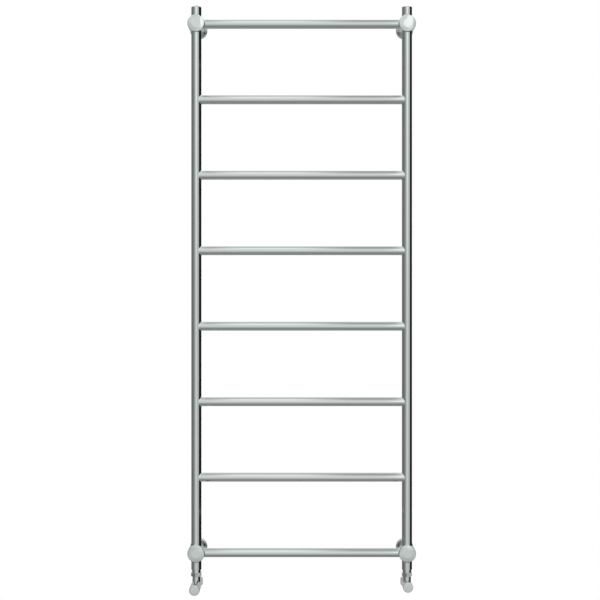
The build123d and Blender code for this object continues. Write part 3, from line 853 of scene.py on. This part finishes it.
class TOWEL_RAIL_OT_valve_bodies(bpy.types.Operator):
    """Model the angle valves: a barrel square to the wall with a neck that grows out of it"""

    bl_idname = "towel_rail.valve_bodies"
    bl_label = "Valve bodies"

    def execute(self, context):
        sizes = context.scene.valve_sizes
        axis = valve_axes["left"]
        low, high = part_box("left_valve_body")
        radius = axis.z - low.z
        top = high.z - axis.z
        barrel = valve_barrel(sizes, radius, low.y - axis.y, high.y - axis.y)
        set_in_place(barrel, (0, 0, 0), TO_WALL)
        neck = valve_neck(sizes, radius, top)
        set_in_place(neck, (0, 0, (top + radius) / 2))
        make_active(barrel)
        neck.select_set(True)
        bpy.ops.object.join()
        places = {f"{side}_valve_body": (axis, UPWARDS) for side, axis in valve_axes.items()}
        set_copies(barrel, "chrome_fitting", places)
        return {"FINISHED"}


def wheel_drum(sizes, radius, front, cap_radius):
    """The handwheel's drum along Z: a seat for the cap, a hollow for the screw, a web on the spindle."""
    room = size("left_bonnet").x / 2 + sizes.head_room
    edge = sizes.wheel_edge
    seat, bore, stem = cap_radius + FIT, sizes.wheel_hollow_bore / 2, sizes.spindle_hole / 2
    seat_floor = front - sizes.cap_thickness
    hollow_floor = seat_floor - sizes.wheel_hollow
    web_back = hollow_floor - sizes.wheel_web
    outline = [(radius, 0)] + arc((radius - edge, front - edge), edge, 0, 90)
    outline += [(seat, front), (seat, seat_floor), (bore, seat_floor), (bore, hollow_floor)]
    outline += [(stem, hollow_floor), (stem, web_back), (room, web_back), (room, 0)]
    return turned("handwheel_drum", outline, hollow=True)


def wheel_cap(sizes, radius):
    """The crowned front cap of the handwheel along Z."""
    rim = sizes.cap_thickness - sizes.cap_crown
    cap = turned("handwheel_front_cap", [(radius, 0)] + dome(radius, rim, sizes.cap_crown))
    soften(cap, sizes.cap_edge)
    return cap


class TOWEL_RAIL_OT_handwheel(bpy.types.Operator):
    """Model the handwheel of the left valve and its crowned front cap"""

    bl_idname = "towel_rail.handwheel"
    bl_label = "Handwheel"

    def execute(self, context):
        sizes = context.scene.valve_sizes
        axis = valve_axes["left"]
        low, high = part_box("handwheel")
        cap_radius = size("handwheel_cap").x / 2
        wheel = wheel_drum(sizes, (high.x - low.x) / 2, high.y - low.y, cap_radius)
        set_in_place(wheel, (axis.x, high.y, axis.z), TO_ROOM)
        dress(wheel, "chrome_fitting", "handwheel", "handwheel")
        cap = wheel_cap(sizes, cap_radius)
        set_in_place(cap, (axis.x, low.y + sizes.cap_thickness, axis.z), TO_ROOM)
        dress(cap, "chrome_fitting", "handwheel", "handwheel_cap")
        return {"FINISHED"}


class TOWEL_RAIL_OT_lockshield_cap(bpy.types.Operator):
    """Model the plain cap that hides the spindle of the right valve"""

    bl_idname = "towel_rail.lockshield_cap"
    bl_label = "Lockshield cap"

    def execute(self, context):
        sizes = context.scene.valve_sizes
        axis = valve_axes["right"]
        low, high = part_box("lockshield_cap")
        radius = (high.x - low.x) / 2
        front = high.y - low.y
        edge, crown = sizes.lock_edge, sizes.cap_crown
        inside = front - sizes.lock_front
        room = size("right_bonnet").x / 2 + sizes.head_room
        boss = sizes.lock_boss / 2
        boss_outside = boss + sizes.lock_boss_wall
        recess = sizes.lock_boss_recess
        outline = [(boss, inside), (boss, recess), (boss_outside, recess), (boss_outside, inside)]
        outline += [(room, inside), (room, 0), (radius, 0)]
        outline += arc((radius - edge, front - crown - edge), edge, 0, 90)
        outline += dome(radius - edge, front - crown, crown)[1:]
        cap = turned("lockshield_cover", outline)
        set_in_place(cap, (axis.x, high.y, axis.z), TO_ROOM)
        dress(cap, "chrome_fitting", "lockshield_cap", "lockshield_cap")
        return {"FINISHED"}


# Tones of the studio as polished metal shows them, at degrees from the camera's side to the right or up
ACROSS_TONES = (
    # the wall behind the rail and the dull room on the left
    (-180, 0.22), (-155, 0.24), (-130, 0.23), (-108, 0.20), (-87, 0.20), (-68, 0.21),
    # the soft light of the camera's side
    (-52, 0.30), (-36, 0.43), (-22, 0.635), (-7, 0.71), (7, 0.72), (22, 0.70), (52, 0.56), (63, 0.53),
    # the black flag on the right and the wall again
    (66, 0.005), (160, 0.005), (172, 0.05), (180, 0.22),
)
UPWARD_TONES = (
    # the wall behind the rail and the floor
    (-180, 0.40), (-165, 0.36), (-140, 0.40), (-90, 0.27), (-61, 0.28),
    # the soft light of the camera's side
    (-31, 0.52), (-12, 0.76), (0, 0.87), (23, 0.90), (40, 0.75),
    # the ceiling and the lit top of the wall
    (52, 0.60), (68, 0.53), (90, 0.46), (120, 0.60), (145, 0.88), (165, 0.72), (180, 0.40),
)

# Soft edges in the studio: where each starts and where it is full, as a part of the direction
WALL_EDGE = (-0.93, -0.955)
STRIP_LEFT, STRIP_RIGHT = (-0.10, -0.05), (0.055, -0.01)
STRIP_FOOT, STRIP_BACK = (0.40, 0.80), (-0.75, 0.4)
WINDOW_LEFT, WINDOW_RIGHT = (0.075, 0.092), (0.34, 0.28)
WINDOW_FOOT, WINDOW_HEAD = (-0.25, 0.30), (0.62, 0.5)
WINDOW_BACK = (0, 0.1)
SIDES_FOOT = (0.55, 0.8)
SIDES_INNER = (0.0072, 0.0085)  # square of the part to either side
STEEP = (0.05, 0.75)  # share of upwards in what isn't towards the camera or the wall
NEARLY_NOTHING = 0.00001  # keeps that share from a division by nothing
WHITE = (1, 1, 1, 1)


def ramp_round(graph, sine, cosine, tones):
    """Tone of a direction by its angle, from stops in degrees."""
    angle = graph.node("ShaderNodeMath", {"operation": "ARCTAN2"}, {0: sine, 1: cosine})
    stops = [(0.5 + bearing / 360, tone) for bearing, tone in tones]
    return graph.node("ShaderNodeValToRGB", {"stops": stops}, {"Fac": 0.5 + angle / math.tau})


def studio_tones(graph, studio):
    """What polished metal sees in each direction: the room and its wall, an overhead strip and a soft box."""
    direction = graph.node("ShaderNodeTexCoord", {}, {}, "Generated")
    right = graph.node("ShaderNodeSeparateXYZ", {}, {"Vector": direction}, "X")
    front = 0 - right.beside("Y")
    up = right.beside("Z")
    across = ramp_round(graph, right, front, ACROSS_TONES) * (1 + studio.height_fall * up)
    upwards = ramp_round(graph, up, front, UPWARD_TONES)
    steep = graph.step(up * up / (right * right + up * up + NEARLY_NOTHING), *STEEP)
    room = across * (1 - steep) + upwards * steep
    wall = graph.step(front, *WALL_EDGE)
    room = room * (1 - wall) + studio.wall_tone * wall
    strip = graph.step(right, *STRIP_LEFT) * graph.step(right, *STRIP_RIGHT)
    strip = strip * graph.step(up, *STRIP_FOOT) * graph.step(front, *STRIP_BACK)
    window = graph.step(right, *WINDOW_LEFT) * graph.step(right, *WINDOW_RIGHT)
    window = window * graph.step(front, *WINDOW_BACK)
    window = window * graph.step(up, *WINDOW_FOOT) * graph.step(up, *WINDOW_HEAD)
    sides = graph.step(right * right, *SIDES_INNER) * graph.step(up, *SIDES_FOOT)
    return room + studio.strip_light * strip + studio.window_light * window + studio.side_light * sides


def studio_world(studio):
    """White backdrop for the camera, even room light, and for polished metal the tones of a soft studio."""
    world = bpy.data.worlds.new("studio")
    bpy.context.scene.world = world
    graph = Graph(world)
    seen = studio_tones(graph, studio)
    camera = graph.node("ShaderNodeLightPath", {}, {}, "Is Camera Ray")
    shiny = camera.beside("Is Glossy Ray") + camera.beside("Is Transmission Ray")
    strength = camera + shiny * seen + (1 - camera - shiny) * studio.room_light
    background = graph.node("ShaderNodeBackground", {}, {"Color": WHITE, "Strength": strength})
    graph.node("ShaderNodeOutputWorld", {}, {"Surface": background})


def floor_finish(studio, below):
    """Pale matt floor that fades into the white backdrop, away from the place below the rail."""
    material = bpy.data.materials.new("pale floor")
    graph = Graph(material)
    place = object_place(graph)
    mottle = graph.noise(place, scale=5, detail=4)
    pale = Vector(studio.floor_colour)
    floor = graph.blend(mottle, solid_colour(pale * studio.floor_mottle), solid_colour(pale))
    matt_inputs = {"Base Color": floor, "Roughness": studio.floor_roughness}
    matt = graph.node("ShaderNodeBsdfPrincipled", {}, matt_inputs, "BSDF")
    white = graph.node("ShaderNodeEmission", {}, {"Color": WHITE, "Strength": 1.0})
    away = graph.node("ShaderNodeVectorMath", {"operation": "DISTANCE"}, {0: place, 1: below}, "Value")
    camera = graph.node("ShaderNodeLightPath", {}, {}, "Is Camera Ray")
    fade = camera * graph.step(away, studio.floor_clear, studio.floor_fade)
    shader = graph.node("ShaderNodeMixShader", {}, {0: fade, 1: matt, 2: white})
    graph.node("ShaderNodeOutputMaterial", {}, {"Surface": shader})
    return material


def add_floor(studio):
    """The pale floor below the rail, which polished metal doesn't show."""
    bpy.ops.object.select_all(action="DESELECT")
    below = (0, valve_axes["left"].y, cad_box[0].z - studio.floor_gap)
    bpy.ops.mesh.primitive_plane_add(size=studio.floor_size, location=below)
    floor = bpy.context.object
    floor.name = "floor"
    bpy.ops.object.transform_apply(location=True, rotation=True, scale=True)
    floor.data.materials.append(floor_finish(studio, below))
    floor.visible_glossy = False


def add_lamp(studio):
    """A soft lamp over the camera's left, which polished metal doesn't show."""
    bpy.ops.object.light_add(type="AREA", location=Vector(studio.lamp_place))
    lamp = bpy.context.object
    lamp.name = "soft overhead lamp"
    lamp.data.size = studio.lamp_size
    lamp.data.energy = studio.lamp_power
    lamp.visible_glossy = False
    lamp.rotation_euler = Vector(studio.lamp_aim).to_track_quat("-Z", "Y").to_euler()


def add_camera(studio):
    """The camera in the room. It looks along its own -Z, so this turn points it at the wall."""
    across, above = studio.camera_offset
    away = valve_axes["left"].y - studio.camera_distance
    bpy.ops.object.camera_add(location=(across, away, above), rotation=TO_ROOM)
    camera = bpy.context.object
    camera.name = "camera"
    camera.data.lens = camera.data.sensor_width * studio.camera_distance / studio.picture_width
    bpy.context.scene.camera = camera


class TOWEL_RAIL_OT_stage(bpy.types.Operator):
    """Set the floor, the studio light and the camera"""

    bl_idname = "towel_rail.stage"
    bl_label = "Stage"

    def execute(self, context):
        studio = context.scene.studio_setup
        context.scene.view_settings.view_transform = "Standard"
        studio_world(studio)
        add_floor(studio)
        add_lamp(studio)
        add_camera(studio)
        return {"FINISHED"}


OPERATORS = (
    TOWEL_RAIL_OT_finishes,
    TOWEL_RAIL_OT_uprights,
    TOWEL_RAIL_OT_rungs,
    TOWEL_RAIL_OT_corner_joints,
    TOWEL_RAIL_OT_wall_flanges,
    TOWEL_RAIL_OT_end_plugs,
    TOWEL_RAIL_OT_nuts,
    TOWEL_RAIL_OT_valve_bodies,
    TOWEL_RAIL_OT_handwheel,
    TOWEL_RAIL_OT_lockshield_cap,
    TOWEL_RAIL_OT_stage,
)
GROUPS = {
    "rail_sizes": RailSizes,
    "valve_sizes": ValveSizes,
    "rail_finishes": RailFinishes,
    "studio_setup": StudioSetup,
}


class TOWEL_RAIL_PT_panel(bpy.types.Panel):
    """Lists the pieces of the towel rail and the sizes and colours that they follow"""

    bl_label = "Towel Rail"
    bl_idname = "TOWEL_RAIL_PT_panel"
    bl_space_type = "VIEW_3D"
    bl_region_type = "UI"
    bl_category = "Towel Rail"

    def draw(self, context):
        for operator in OPERATORS:
            self.layout.operator(operator.bl_idname)
        for group, kind in GROUPS.items():
            box = self.layout.box()
            for name in kind.__annotations__:
                box.prop(getattr(context.scene, group), name)


def register():
    """Registers the property groups, the operators and the panel."""
    for group, kind in GROUPS.items():
        bpy.utils.register_class(kind)
        setattr(bpy.types.Scene, group, bpy.props.PointerProperty(type=kind))
    for kind in (*OPERATORS, TOWEL_RAIL_PT_panel):
        bpy.utils.register_class(kind)


def unregister():
    """Removes them again, in the other order."""
    for kind in reversed((*OPERATORS, TOWEL_RAIL_PT_panel)):
        bpy.utils.unregister_class(kind)
    for group, kind in reversed(GROUPS.items()):
        delattr(bpy.types.Scene, group)
        bpy.utils.unregister_class(kind)


def main():
    """Builds the whole scene."""
    register()
    bpy.ops.towel_rail.finishes()
    bpy.ops.towel_rail.uprights()
    bpy.ops.towel_rail.rungs()
    bpy.ops.towel_rail.corner_joints()
    bpy.ops.towel_rail.wall_flanges()
    bpy.ops.towel_rail.end_plugs()
    bpy.ops.towel_rail.nuts()
    bpy.ops.towel_rail.valve_bodies()
    bpy.ops.towel_rail.handwheel()
    bpy.ops.towel_rail.lockshield_cap()
    bpy.ops.towel_rail.stage()


if __name__ == "__main__":
    main()
